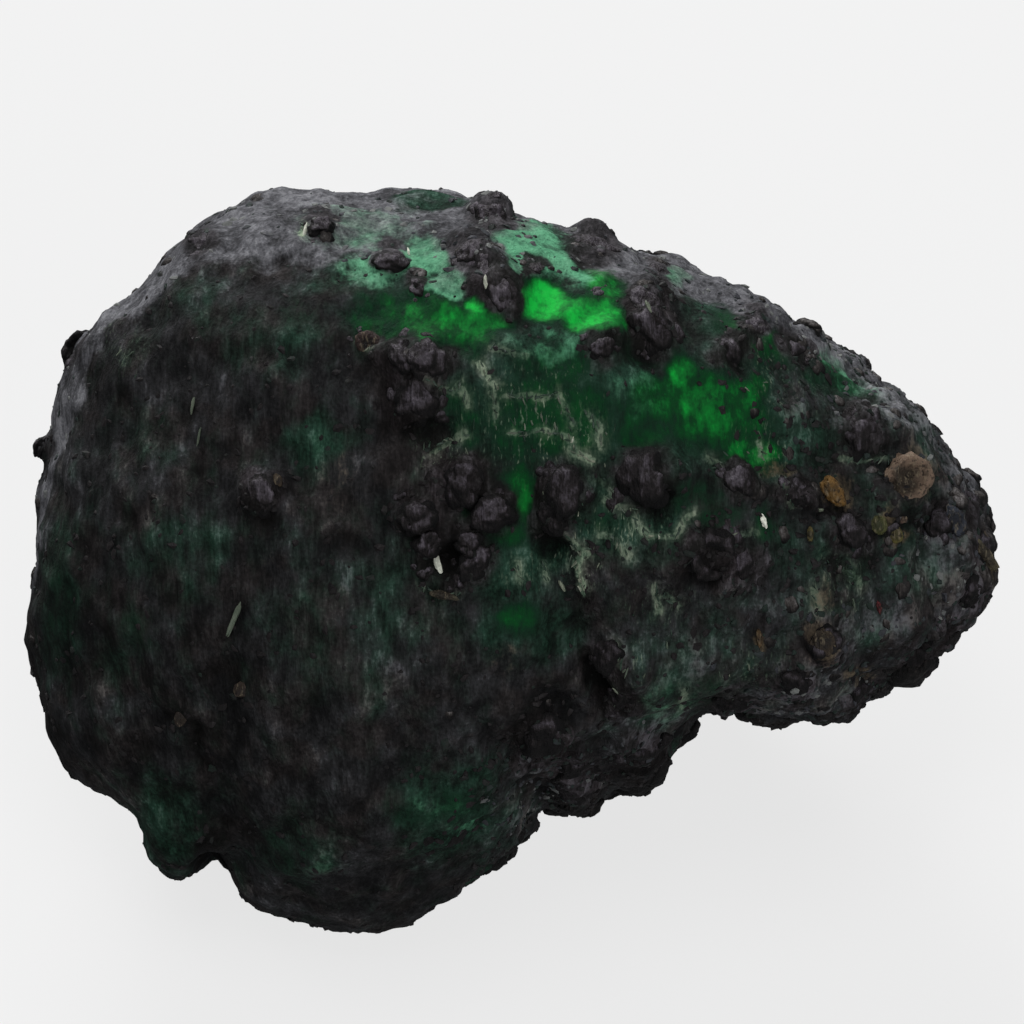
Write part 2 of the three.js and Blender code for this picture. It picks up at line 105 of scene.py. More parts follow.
# Where there is beryl in the schist, so that the rock itself is green.
GREEN_ROCK = [
    (3.5, 7.5, 5.5, 4.2, 1), (10, 7, 4.5, 3.6, 0.9), (-3, 10.8, 3.8, 1.8, 0.95), (6, 2, 4.6, 2.2, 0.85),
    (1.8, 0.2, 2.5, 3, 0.85), (2.2, -2.8, 2.6, 1.7, 0.85), (9, -4.6, 4.6, 2.6, 0.4),
    (14, 0, 4, 2.6, 0.4), (-1.2, -11.4, 3, 2.6, 0.9), (-14.5, -12, 2.2, 2.5, 0.8, 20),
    (-13.2, 0.4, 3.2, 2.4, 0.55), (-19, -2, 1.4, 4.4, 0.65), (-7.3, 5.3, 1.5, 1.7, 0.8),
    (16.5, 8.2, 3.6, 1.8, 0.6, -30), (-16.4, -3.4, 2.2, 2, 0.35), (-8.4, -13.2, 2.6, 2, 0.45),
    (3, 14, 3.2, 2, 0.85), (-4, 13.2, 4, 1.6, 0.75), (-12.4, 11.6, 2.4, 1.6, 0.45),
    (-6, -5, 2.4, 2.2, 0.25), (-2, -2.6, 2, 1.4, 0.25), (17, -2.6, 2.4, 1.6, 0.35),
    (20.6, 6, 1.6, 2, 0.4, 40), (-15, 5.6, 2, 1.6, 0.3), (-2.3, 17.4, 2.2, 2, 1),
    (13.4, 5.6, 4, 2.6, 0.6), (10.8, 11, 3.2, 1.3, 0.6, -25), (-4, -2, 4, 4, 0.35),
    (7.6, -6.4, 2.6, 1.8, 0.35, 10), (-9, 10, 3, 2, 0.4), (18.4, 0.4, 3, 3, 0.45),
    (-8, -3, 2.6, 2.4, 0.3),
]
# Paler grey places: where the schist has been rubbed or is thinly dusted, and, along the lower edge,
# painted light in place of light thrown up from the table.
WORN_AND_LIT = [
    (8.6, -4.4, 3.2, 2.4, 0.8), (6.9, -0.8, 2.4, 1.3, 0.6), (12.4, -2.4, 3, 2, 0.7),
    (21.4, -0.8, 2.8, 3, 1.1), (17.2, -3.6, 3, 2.2, 0.8), (-5, -3.4, 2.6, 2.4, 0.3),
    (-3, -6.6, 2.4, 1.6, 0.4), (-8.2, -12.8, 2.4, 1.8, 0.35), (-6.4, 3.8, 1.6, 2.8, 0.4),
    (-8.6, -0.6, 1.4, 2.2, 0.3), (-15.8, 8, 2.6, 2.4, 0.2), (15.6, 7.4, 3, 1.6, 0.5, -30),
    (-16.6, -6.4, 1.6, 2.4, 0.3), (-3.4, -11.4, 3.6, 2.6, 0.35), (3.2, -7.4, 1.4, 1.6, 0.5),
    (7.8, -7.4, 2.6, 1.5, 1.2, 14), (2.4, -10.6, 3.4, 2, 0.9, 30), (17, 8.4, 3.4, 1.2, 0.7, -38),
    (10, 1.8, 2, 1, 0.4), (5.6, 7.6, 2, 2, 0.5), (-19.4, 4, 1.3, 3.4, 0.8, 8),
    (-16.4, -11, 1.8, 3.4, 0.8, 40), (-8.6, -15.4, 3, 1.2, 0.7, -20), (14.6, -6, 4.2, 1.8, 1.2, 12),
    (20.6, 4.8, 1.8, 2.8, 0.6, 38), (0.6, -5.2, 1.8, 1.4, 0.35), (5.6, 2, 1.6, 1.6, 0.4),
    (14.8, 5.6, 1.6, 1.4, 0.3), (-12, -5.2, 1.4, 1.6, 0.25), (-8.6, -8.8, 1.6, 1.4, 0.3),
    (16.2, 0.4, 1.2, 2, 0.35), (-4.6, 7.4, 1.2, 1.4, 0.35),
]
# Hollows, pits and cracks, darkened with painted shade: the same, with the strength as a depth in mm.
HOLLOWS = [
    (-1.3, 0, 1, 0.85, 0.8), (3.1, 0.6, 0.8, 1, 0.35, 10), (8, 2.6, 0.8, 0.9, 0.4, 20),
    (10, -0.6, 0.8, 0.7, 0.4), (4.2, -1.9, 0.45, 2.1, 0.28, 14), (5.2, -4.9, 0.5, 1.9, 0.55, 20),
    (-1.1, 9.6, 0.9, 0.45, 0.35, -20), (-2.4, 5.6, 1.3, 0.5, 0.35), (-3.1, 0.9, 0.8, 0.5, 0.3),
    (-12.4, -14.7, 0.9, 1.4, 1.1), (-12.2, -12.6, 0.6, 2.6, 0.35, -6), (-11.2, -6.2, 0.8, 3, 0.3, 4),
    (3.6, -6.6, 1.4, 0.7, 0.4, -20), (2.6, -10.4, 1.2, 0.7, 0.4, -30), (12, -7.8, 1.8, 0.6, 0.4, 10),
    (15.6, 2.2, 0.5, 0.5, 0.3), (19.6, 1.9, 1.2, 0.5, 0.35), (16.4, -0.4, 1, 0.6, 0.3),
    (14.6, 1.6, 0.5, 0.9, 0.25), (-6.2, 0.9, 1.4, 0.6, 0.22, -20), (-9.4, 1.6, 1.1, 0.5, 0.25),
    (7.2, 9.4, 0.7, 0.6, 0.3), (18, 4.4, 1.2, 0.5, 0.3, -20), (0, 2, 0.5, 0.7, 0.3, 30),
    (-12.6, -8.6, 0.7, 1.6, 0.3, 10), (-10.9, -2.6, 0.5, 1.2, 0.25, -17),
]
# Where iron has stained it ochre.
STAINS = [
    (16.2, 3.1, 0.9, 1.1, 0.6, 20), (19.6, 3.7, 1.5, 1.4, 0.4), (18.3, 1.8, 0.7, 0.8, 0.6),
    (19.2, 1.3, 0.6, 0.6, 0.6), (12.6, -3.5, 0.4, 0.7, 0.7), (15.4, -3.7, 0.9, 0.9, 0.5),
    (23.6, 0.2, 0.6, 1.6, 0.5, 6), (17.2, -5, 0.7, 0.6, 0.4), (15.4, -1.6, 0.6, 1, 0.3),
    (-9.8, 0, 1.4, 1, 0.25), (13.6, 4, 0.7, 0.4, 0.5), (-10.7, -5.8, 0.5, 0.8, 0.4),
    (-13.5, -7.1, 0.5, 0.8, 0.4), (1, -4.4, 0.9, 0.8, 0.3), (-6, 3.6, 1.2, 1.4, 0.2),
]
# Pale cracks, where shattered beryl and quartz show, and three pale lines that are painted highlights:
# points on the broad face, width, how pale.
CRACKS = [
    ([(-2.5, 8.2), (-1.8, 7.8), (-1.1, 7.6), (-0.9, 8.0)], 0.16, 0.55),
    ([(0.1, 8.9), (0.35, 8.4), (0.8, 7.8)], 0.2, 0.75), ([(-0.7, 7.7), (-0.5, 6.9)], 0.12, 0.5),
    ([(0.6, 7.5), (0.8, 6.4)], 0.14, 0.5), ([(1.2, 7.4), (2.4, 7.3), (3.5, 7.5)], 0.1, 0.4),
    ([(3.5, 7.5), (3.8, 6.9), (4.2, 6.2)], 0.2, 0.55),
    ([(1.2, 5.8), (2.1, 5.7), (2.9, 5.9), (4.0, 5.5)], 0.12, 0.6),
    ([(4.0, 5.5), (4.3, 4.8), (5.1, 4.4)], 0.26, 0.85),
    ([(4.9, 6.7), (5.2, 6.2), (5.4, 5.7), (5.5, 5.0)], 0.26, 0.6),
    ([(-2.0, 4.9), (-1.4, 5.4), (-0.5, 5.7)], 0.26, 0.45),
    ([(5.7, 2.8), (6.3, 2.4), (6.9, 2.3)], 0.16, 0.6),
    ([(6.9, 2.3), (7.0, 1.7), (7.5, 1.2), (8.2, 1.05), (8.8, 1.2), (9.4, 2.0)], 0.2, 0.6),
    ([(3.7, 1.2), (4.3, 0.6), (4.9, 0.3)], 0.3, 0.7),
    ([(4.6, 0.4), (4.3, -0.3), (4.75, -1.4)], 0.3, 1.0),
    ([(5.5, 1.2), (6.1, 0.8), (6.7, 0.3)], 0.34, 0.5),
    ([(-2.6, -1.1), (-1.7, -1.6), (-0.9, -1.4)], 0.16, 0.5),
    # a painted highlight on the rim of a small ring-shaped knot
    ([(-5.3, 9.9), (-5.1, 9.5), (-4.8, 9.6), (-4.8, 10.0)], 0.08, 0.8),
    ([(1.7, -0.1), (1.85, -0.9)], 0.14, 0.5), ([(2.95, 0.1), (3.0, -0.8)], 0.14, 0.45),
    # painted highlights along the lit edge of the big crack
    ([(6.0, -3.6), (6.3, -4.7)], 0.2, 0.6), ([(6.1, -5.7), (6.2, -6.3)], 0.24, 0.7),
    ([(7.9, -1.1), (8.1, -2.3)], 0.16, 0.5), ([(8.4, -1.5), (8.9, -2.0)], 0.3, 0.4),
    ([(16.6, -0.5), (17.1, -1.0)], 0.3, 0.6), ([(16.3, 4.6), (17.4, 4.5), (18.5, 4.6)], 0.1, 0.4),
    ([(10.2, 4.6), (10.8, 4.3)], 0.3, 0.35), ([(9.2, -5.8), (9.1, -6.4)], 0.3, 0.4),
    ([(12.5, 5.3), (12.8, 4.8)], 0.14, 0.7), ([(5.4, 3.7), (6.0, 3.2)], 0.3, 0.35),
    ([(-8.0, 14.7), (-8.0, 15.3)], 0.1, 0.9), ([(10.6, 1.0), (12.4, 1.3)], 0.24, 0.3),
    ([(15.0, -1.2), (15.3, -2.6)], 0.2, 0.35), ([(13.6, 3.4), (14.2, 2.4)], 0.14, 0.35),
    ([(0.6, 9.6), (2.0, 9.2)], 0.2, 0.25),
]
# Where the beryl is shattered into small pale splinters: soft oval spots like the windows.
SHATTERED = [
    (2.4, 6.3, 3, 2.6, 1), (6.6, 1.7, 2.2, 1.5, 0.9), (4.5, 0, 1.3, 2, 0.8), (8, -1.6, 1.6, 1.4, 0.5),
    (12.4, 5, 1.6, 1.6, 0.6), (13.4, 8.2, 3, 1.4, 0.5, -30), (16.4, -0.8, 1.6, 2, 0.6),
    (-1.6, 5, 1.3, 0.9, 0.7), (6.6, -5, 1.5, 1.6, 0.6), (12.4, -5, 2, 1.4, 0.4),
    (2.2, -0.6, 1.4, 1.2, 0.4), (-16.2, 9.6, 1.6, 1.8, 0.3),
]
# The top shoulder: along the face, and how far up it the shoulder starts. Pale dust and painted light from
# behind lie beyond it.
SHOULDER = [
    (-22, -4), (-20, 0.5), (-19.3, 4.6), (-17, 9.9), (-13.2, 13.1), (-10, 13.4), (-6.9, 13.3),
    (-3, 12.6), (0, 12.9), (4, 13.2), (8, 12), (12, 10.8), (16, 8.4), (19, 6.3), (21.4, 4.2), (24, 2),
]


def smooth_step(low, high, x):
    share = np.clip((np.asarray(x) - low) / (high - low), 0, 1)
    return share * share * (3 - 2 * share)


def at_girdle(across, up):
    """The point behind a place on the broad face, level with the stone's middle."""
    return MIDDLE + (ACROSS * across + UP * up) * MM


def face_places(points):
    """Points in metres as rows of mm along the stone, up its broad face and out of it."""
    off = (np.array(points) - np.array(MIDDLE)) / MM
    return off @ AXES


def soft_lines(lines, places):
    """How near each place is to the nearest of some lines, 1 on it, and how pale that line is."""
    nearness, pale = np.zeros(len(places)), np.zeros(len(places))
    flat = places[:, :2]
    for points, width, brightness in lines:
        for start, end in zip(np.array(points), np.array(points)[1:]):
            way = end - start
            share = np.clip((flat - start) @ way / (way @ way), 0, 1)
            away = np.hypot(*(flat - start - share[:, None] * way).T)
            near = np.clip(1 - away / (0.42 + 0.6 * width), 0, 1) * (places[:, 2] > BEHIND)
            pale = np.where(near > nearness, brightness, pale)
            nearness = np.maximum(nearness, near)
    return nearness, pale


def soft_spots(spots, places, edge=(1.35, 0.3)):
    """How strongly the nearest of some soft oval spots covers each place on the broad face."""
    best = np.zeros(len(places))
    for across, up, width, height, strength, *turned in spots:
        x, y = places[:, 0] - across, places[:, 1] - up
        turn = math.radians(sum(turned))
        c, s = math.cos(turn), math.sin(turn)
        away = np.hypot((x * c + y * s) / width, (y * c - x * s) / height)
        best = np.maximum(best, strength * smooth_step(*edge, away))
    return best


def wandering(places, step, by):
    """The places moved about a little, so that a soft spot's edge isn't an oval."""
    moves = [noise.noise_vector(Vector(p) / step) for p in places]
    return places + by * np.array(moves)


def link(thing):
    bpy.context.scene.collection.objects.link(thing)


def fine_copy(source, step):
    whole = bmesh.new()
    whole.from_mesh(source.data)
    bmesh.ops.remove_doubles(whole, verts=whole.verts, dist=0.001 * MM)
    mesh = bpy.data.meshes.new("fine")
    whole.to_mesh(mesh)
    whole.free()
    piece = bpy.data.objects.new("fine", mesh)
    link(piece)
    remesh = piece.modifiers.new("even", "REMESH")
    remesh.mode = "VOXEL"
    remesh.voxel_size = step
    even = piece.evaluated_get(bpy.context.evaluated_depsgraph_get())
    fine = bmesh.new()
    fine.from_mesh(even.to_mesh())
    bpy.data.objects.remove(piece)
    return fine


def soften(shape, times):
    for _ in range(times):
        bmesh.ops.smooth_vert(
            shape, verts=shape.verts, factor=0.5, use_axis_x=True, use_axis_y=True, use_axis_z=True
        )
    shape.normal_update()


def put_in_scene(name, shape, columns=(), smooth=True):
    """A finished mesh as an object at the origin, with its own numbers kept at its points."""
    mesh = bpy.data.meshes.new(name)
    shape.to_mesh(mesh)
    shape.free()
    for label, column in dict(columns).items():
        mesh.attributes.new(label, "FLOAT", "POINT").data.foreach_set("value", column)
    mesh.polygons.foreach_set("use_smooth", [smooth] * len(mesh.polygons))
    piece = bpy.data.objects.new(name, mesh)
    link(piece)
    return piece


noise.seed_set(41)  # without it, Blender's noise vectors are new in every run
lump = fine_copy(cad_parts["rough_emerald"], FINE_STEP)
soften(lump, ROUND_OFF)
before = [v.co.copy() for v in lump.verts]
soften(lump, FLATTEN)
proud = np.array([(a - v.co).dot(v.normal) / MM for a, v in zip(before, lump.verts)])
outward = np.array([v.normal[:] for v in lump.verts])
for vert, co in zip(lump.verts, before):
    vert.co = co
lump.normal_update()

places = face_places([v.co[:] for v in lump.verts])
over_rim = (outward @ AXES)[:, :2]
over_rim /= np.maximum(np.hypot(*over_rim.T), 0.05)[:, None]
rolled = places.copy()
roll = np.interp(places[:, 1], *zip(*ROLL)) - places[:, 2]
rolled[:, :2] += over_rim * CARRIED * np.maximum(0, roll)[:, None]
wandered = wandering(wandering(rolled, 1.7, 0.55), 0.6, 0.28)
front = smooth_step(BEHIND, 1.0, places[:, 2])
window = front * soft_spots(WINDOWS, wandered)
cloud = front * soft_spots(CLOUDS, wandered)
worn_and_lit = front * soft_spots(WORN_AND_LIT, wandered, (1.5, 0.2))
green_rock = 0.2 + front * (soft_spots(GREEN_ROCK, wandered, (1.4, 0.3)) * 0.8)
crack, crack_pale = soft_lines(CRACKS, wandering(places, 0.7, 0.2))
hollow = smooth_step(-5, -2, places[:, 2]) * soft_spots(HOLLOWS, wandered, (1.3, 0.2))
stain = front * soft_spots(STAINS, wandered)
shattered = front * soft_spots(SHATTERED, wandered)
feet = front * soft_spots([(x, y, r, r, 1) for x, y, r in KNOTS], wandered, (1.5, 0.8))
feet *= 1 - 0.8 * smooth_step(0.35, 0.65, window)
knot = np.maximum(feet, 0.7 * smooth_step(0.2, 0.45, proud) * (1 - window) * (1 - cloud))
ragged = np.clip(
    smooth_step(6, 17, places[:, 0])
    + smooth_step(-5, -8.5, places[:, 1] + 0.12 * places[:, 0]) * smooth_step(-2.5, 1.5, places[:, 0])
    + 0.3 * (1 - front), 0, 1
)
past = wandered[:, 1] - np.interp(wandered[:, 0], *zip(*SHOULDER))
patchy = np.array([noise.noise(Vector(p) / 2.4) for p in places])
# Beyond the shoulder, on what faces up, lies pale dust together with painted light from behind.
dust_and_backlight = smooth_step(-0.5, 1.0, past) * smooth_step(-0.25, 0.5, outward[:, 2] + 0.5 * patchy)
dust_and_backlight *= 1 - 0.5 * front * smooth_step(15, 20, places[:, 0])

# Behind, where there are no placed markings, green shows here and there.
drift = np.array([noise.noise(Vector(p) / 3.6 + Vector((7, 3, 9))) for p in places])
green_rock = np.maximum(green_rock, (1 - front) * 0.9 * smooth_step(-0.1, 0.35, drift))
facing_back = smooth_step(0.0, -0.4, outward @ np.array(OUT))
window = np.maximum(window, facing_back * 0.36 * smooth_step(0.15, 0.45, drift))


def crust_height(place, rough):
    """Height of the crust in mm: swells, rounded knobs, leaves that run up the face, and grains."""
    bent = place + 0.35 * noise.noise_vector(place / 0.9)
    near = noise.voronoi(bent / 1.05)[0]
    near_small = noise.voronoi(bent / 0.52)[0]
    knobs = 0.6 - min(near[0], 1) ** 1.5
    beads = 0.55 - min(near_small[0], 1)
    swell = noise.fractal(place / 2.6, 1.0, 2.0, 2) + 0.6 * noise.noise(bent / 1.3)
    ribs = noise.noise(Vector((bent.x / 0.5, place.y / 1.9, place.z / 0.7)))
    return 0.18 * swell + rough * (0.34 * knobs + 0.17 * beads) + (0.05 + 0.06 * rough) * ribs


rough = 0.55 + 0.65 * ragged + 0.3 * knot - 0.35 * window
off_table = smooth_step(CLEAR_OF_TABLE, 0.6, np.array([v.co.z for v in lump.verts]) / MM)
crust = np.array([crust_height(Vector(p), r) for p, r in zip(places, rough)])
rise = off_table * (crust - hollow - 0.12 * window)
for vert, height in zip(lump.verts, rise):
    vert.co += vert.normal * (height * MM)
soften(lump, 1)
stone_tree = BVHTree.FromBMesh(lump)
stone = put_in_scene("stone", lump, {
    "window": window, "cloud": cloud, "hollow": np.clip(hollow / 0.5, 0, 1), "stain": stain, "knot": knot,
    "dust_and_backlight": dust_and_backlight, "crust": crust, "worn_and_lit": worn_and_lit, "crack": crack, "crack_pale": crack_pale,
    "green_rock": green_rock, "shattered": shattered,
})


def node(tree, kind, inputs=None, **settings):
    made = tree.nodes.new("ShaderNode" + kind)
    for name, value in settings.items():
        setattr(made, name, value)
    for name, value in (inputs or {}).items():
        if isinstance(value, bpy.types.NodeSocket):
            tree.links.new(value, made.inputs[name])
        else:
            made.inputs[name].default_value = value
    return made


def maths(tree, operation, *values, clamp=False):
    inputs = dict(enumerate(values))
    return node(tree, "Math", inputs, operation=operation, use_clamp=clamp).outputs[0]


def added(tree, value, by, base):
    """The base, with a value times a number added."""
    return maths(tree, "MULTIPLY_ADD", value, by, base)


def swung(tree, value, by, base):
    """The base, moved by how far a value is from a half."""
    return added(tree, maths(tree, "SUBTRACT", value, 0.5), by, base)


def times(tree, first, second):
    return maths(tree, "MULTIPLY", first, second)


def between(tree, value, low, high, to_low=0.0, to_high=1.0):
    """The value spread from one range to another, with soft ends."""
    inputs = {"Value": value, 1: low, 2: high, 3: to_low, 4: to_high}
    return node(tree, "MapRange", inputs, interpolation_type="SMOOTHSTEP").outputs[0]


def blend(tree, share, first, second):
    mixer = node(tree, "Mix", data_type="RGBA")
    for socket, value in ((mixer.inputs[0], share), (mixer.inputs[6], first), (mixer.inputs[7], second)):
        if isinstance(value, bpy.types.NodeSocket):
            tree.links.new(value, socket)
        else:
            socket.default_value = value
    return mixer.outputs[2]


def new_group(name, inputs):
    """A shader node group that puts out one mask. Inputs are name: starting value."""
    tree = bpy.data.node_groups.new(name, "ShaderNodeTree")
    for label, value in inputs.items():
        made = tree.interface.new_socket(label, in_out="INPUT", socket_type="NodeSocketFloat")
        made.default_value = value
    tree.interface.new_socket("Mask", in_out="OUTPUT", socket_type="NodeSocketFloat")
    return tree, tree.nodes.new("NodeGroupInput").outputs, tree.nodes.new("NodeGroupOutput").inputs["Mask"]


def mask_of(tree, group, **values):
    return node(tree, "Group", values, node_tree=group).outputs["Mask"]


def marking(tree, name):
    return node(tree, "Attribute", attribute_name=name).outputs["Fac"]


def face_coordinates(tree):
    """Object coordinates in mm: x along the stone, y up the broad face, z out of it."""
    here = node(tree, "TexCoord").outputs["Object"]
    inputs = {"Vector": here, "Rotation": (FACE_TILT - math.pi / 2, 0, 0), "Scale": (1 / MM,) * 3}
    return node(tree, "Mapping", inputs).outputs[0]


def schist_leaves():
    """Fine dashes that run up the face, where the leaves of the schist come out."""
    tree, given, mask = new_group("schist_leaves", {"Width": 0.16, "Length": 1.6, "Seed": 0.0})
    thin = maths(tree, "DIVIDE", 1.0, given["Width"])
    tall = maths(tree, "DIVIDE", 1.0, given["Length"])
    stretch = node(tree, "CombineXYZ", {"X": thin, "Y": tall, "Z": thin}).outputs[0]
    scaled = node(
        tree, "VectorMath", {0: face_coordinates(tree), 1: stretch}, operation="MULTIPLY"
    ).outputs[0]
    inputs = {"Vector": scaled, "W": given["Seed"], "Scale": 1.0, "Detail": 3.0, "Roughness": 0.6}
    tree.links.new(node(tree, "TexNoise", inputs, noise_dimensions="4D").outputs[0], mask)
    return tree


def mottle():
    """Soft mottling of one size."""
    tree, given, mask = new_group("mottle", {"Size": 1.0, "Seed": 0.0, "Detail": 3.0})
    scale = maths(tree, "DIVIDE", 1.0, given["Size"])
    inputs = {
        "Vector": face_coordinates(tree), "W": given["Seed"], "Scale": scale, "Detail": given["Detail"]
    }
    tree.links.new(node(tree, "TexNoise", inputs, noise_dimensions="4D").outputs[0], mask)
    return tree


LEAVES = schist_leaves()
MOTTLE = mottle()


def leaves(tree, width, length, seed):
    return mask_of(tree, LEAVES, Width=width, Length=length, Seed=seed)


def mottled(tree, size, seed, detail=3.0):
    return mask_of(tree, MOTTLE, Size=size, Seed=seed, Detail=detail)


def weathering():
    """How light the rock is: patches, streaks, grain, and dust with a painted lit top on what faces up. It
    is about 0.5.
    """
    inputs = {"Patches": 1.0, "Streaks": 1.0, "Upward": 0.25, "Seed": 0.0}
    tree, given, mask = new_group("weathering", inputs)

    def swing(kind, by, **values):
        seed = maths(tree, "ADD", given["Seed"], values.pop("Seed"))
        return times(tree, maths(tree, "SUBTRACT", mask_of(tree, kind, Seed=seed, **values), 0.5), by)

    patches = maths(tree, "ADD", swing(LEAVES, 0.9, Width=2.6, Length=3.8, Seed=1.0),
                    swing(LEAVES, 1.3, Width=0.85, Length=1.3, Seed=5.0))
    streaks = maths(tree, "ADD", swing(LEAVES, 1.1, Width=0.17, Length=0.9, Seed=2.0),
                    swing(LEAVES, 1.2, Width=0.42, Length=2.0, Seed=7.0))
    # painted light: what faces up is lighter, partly settled dust and partly a painted lit top
    facing = node(tree, "TexCoord").outputs["Normal"]
    rise = node(tree, "SeparateXYZ", {"Vector": facing}).outputs["Z"]
    dust_and_light = times(tree, between(tree, rise, 0.1, 1.0, -0.5, 0.5), given["Upward"])
    total = added(tree, patches, given["Patches"], 0.5)
    total = added(tree, streaks, given["Streaks"], total)
    total = maths(tree, "ADD", total, swing(MOTTLE, 0.4, Size=0.15, Detail=2.0, Seed=9.0))
    tree.links.new(maths(tree, "ADD", total, dust_and_light), mask)
    return tree


WEATHERING = weathering()


def linear(*screen):
    """A screen colour out of 255 as the shader wants it."""
    return (*(((c / 255 + 0.055) / 1.055) ** 2.4 if c > 10 else c / 255 / 12.92 for c in screen), 1)


def colours(tree, tone, steps, *shades):
    """The colour at a tone: at each step one of the shades, and a blend between two steps."""
    ramp = node(tree, "ValToRGB", {"Fac": tone})
    ends = ramp.color_ramp.elements
    ends[0].position, ends[0].color = steps[0], linear(*shades[0])
    ends[1].position, ends[1].color = steps[-1], linear(*shades[-1])
    for step, shade in zip(steps[1:-1], shades[1:-1]):
        ends.new(step).color = linear(*shade)
    return ramp.outputs[0]


def new_material(name):
    material = bpy.data.materials.new(name)
    material.use_nodes = True
    material.node_tree.nodes.clear()
    return material, material.node_tree


def finish(tree, colour, roughness, height, relief, shine, strength=1.0):
    """Ends a material. Relief is how far its height stands out, in mm."""
    bump = node(tree, "Bump", {"Height": height, "Distance": relief * MM, "Strength": strength})
    inputs = {"Base Color": colour, "Roughness": roughness, "Normal": bump.outputs[0]}
    shader = node(tree, "BsdfPrincipled", {**inputs, "Specular IOR Level": shine})
    node(tree, "OutputMaterial", {"Surface": shader.outputs[0]})


ROCK = (0.18, 0.40, 0.54, 0.70, 0.92)
MICA = (0.22, 0.42, 0.56, 0.72, 0.9)


def emerald_schist():
    material, tree = new_material("emerald_schist")
    window, cloud, hollow, knot, dust_and_backlight, stain, crust, worn_and_lit = (
        marking(tree, name)
        for name in ("window", "cloud", "hollow", "knot", "dust_and_backlight", "stain", "crust", "worn_and_lit")
    )
    # Painted light and shade in the tone: what faces up is a little lighter, higher crust lighter, lower
    # crust and the hollows darker; worn places paler, partly painted light.
    tone = mask_of(tree, WEATHERING, Patches=0.62, Streaks=0.42, Upward=0.08, Seed=0.0)
    for marked, by in ((crust, 0.35), (worn_and_lit, 0.20), (hollow, -0.36)):
        tone = added(tree, marked, by, tone)
    swing = maths(tree, "SUBTRACT", tone, 0.5)
    other = leaves(tree, 1.3, 2.0, 33.0)
    inside = mottled(tree, 0.9, 61.0)

    # schist: grey, brown in patches, and green where there is beryl in it
    grey = colours(tree, tone, ROCK, (9, 9, 10), (22, 22, 23), (34, 34, 35), (49, 49, 51), (92, 92, 96))
    brown = colours(tree, tone, ROCK, (9, 8, 7), (22, 20, 20), (34, 31, 31), (50, 47, 47), (92, 88, 86))
    green = colours(tree, tone, ROCK, (4, 10, 7), (13, 29, 21), (24, 47, 36), (38, 66, 53), (88, 116, 103))
    patches = mottled(tree, 1.9, 63.0)
    rock = blend(tree, between(tree, patches, 0.44, 0.60), grey, brown)
    beryl_near = marking(tree, "green_rock")
    greenness = swung(tree, other, 1.6, beryl_near)
    colour = blend(tree, between(tree, greenness, 0.15, 1.0), rock, green)

    # beryl: its edge is broken up by the leaves, and it is darker where more rock lies over it
    specks = leaves(tree, 0.34, 0.8, 67.0)
    broken = swung(tree, inside, 0.7, times(tree, swing, 0.55))
    broken = swung(tree, specks, 0.55, broken)
    depth = added(tree, broken, between(tree, window, 0.0, 0.6, 0.3, 1.0), window)
    clear = colours(
        tree, depth, (0.05, 0.30, 0.50, 0.72, 1.0),
        (13, 32, 22), (15, 46, 29), (8, 64, 28), (8, 110, 40), (10, 172, 58)
    )
    seen = times(tree, between(tree, depth, 0.05, 0.36), between(tree, knot, 0.75, 0.25))
    seen = times(tree, seen, between(tree, window, 0.02, 0.15))
    colour = blend(tree, seen, colour, clear)

    # dust and painted light from behind on the shoulder, and a milky cloud in the beryl there, greener
    # where it is clear below
    dusty_and_lit = colours(
        tree, tone, (0.22, 0.42, 0.58, 0.85), (32, 32, 34), (59, 59, 62), (87, 87, 91), (132, 132, 136)
    )
    bare = mottled(tree, 1.3, 65.0)
    dust_and_light = swung(tree, bare, 1.8, dust_and_backlight)
    dust_and_light = added(tree, swing, 0.5, dust_and_light)
    dust_and_light = maths(tree, "SUBTRACT", dust_and_light, between(tree, beryl_near, 0.5, 0.95, 0.0, 0.9))
    dust_and_light = times(tree, between(tree, dust_and_light, 0.10, 0.95), between(tree, dust_and_backlight, 0.0, 0.2))
    colour = blend(tree, dust_and_light, colour, dusty_and_lit)
    steps = (0.22, 0.45, 0.60, 0.85)
    haze = colours(tree, tone, steps, (38, 48, 44), (66, 82, 75), (90, 107, 97), (130, 147, 136))
    milk = colours(tree, tone, steps, (44, 88, 66), (68, 126, 95), (86, 150, 114), (102, 168, 130))
    milkiness = added(tree, beryl_near, 0.6, maths(tree, "ADD", other, window))
    milky = blend(tree, between(tree, milkiness, 0.5, 1.15), haze, milk)
    film = swung(tree, inside, 1.2, cloud)
    film = added(tree, swing, 0.6, film)
    film = times(tree, between(tree, film, 0.10, 0.85), between(tree, knot, 0.8, 0.3))
    film = times(tree, film, between(tree, cloud, 0.0, 0.2))
    film = times(tree, film, between(tree, window, 0.6, 1.0, 1.0, 0.15))
    colour = blend(tree, film, colour, milky)

    # shattered places: cream and pale green lines, with a faint haze beside them
    cream = colours(
        tree, tone, (0.3, 0.5, 0.62, 0.85), (36, 54, 42), (84, 104, 86), (124, 140, 118), (170, 180, 156)
    )
    crack_pale = marking(tree, "crack_pale")
    line = added(tree, swing, 0.45, marking(tree, "crack"))
    line = times(tree, between(tree, line, 0.62, 0.86), crack_pale)
    beside = added(tree, swing, 1.4, marking(tree, "crack"))
    beside = times(tree, between(tree, beside, 0.2, 1.1, 0.0, 0.3), crack_pale)
    ticks = leaves(tree, 0.12, 0.5, 71.0)
    ticks = swung(tree, other, 0.3, ticks)
    ticks = times(tree, between(tree, ticks, 0.56, 0.70, 0.0, 0.75), marking(tree, "shattered"))
    pale = maths(tree, "MAXIMUM", maths(tree, "MAXIMUM", line, beside), ticks)
    colour = blend(tree, pale, colour, cream)

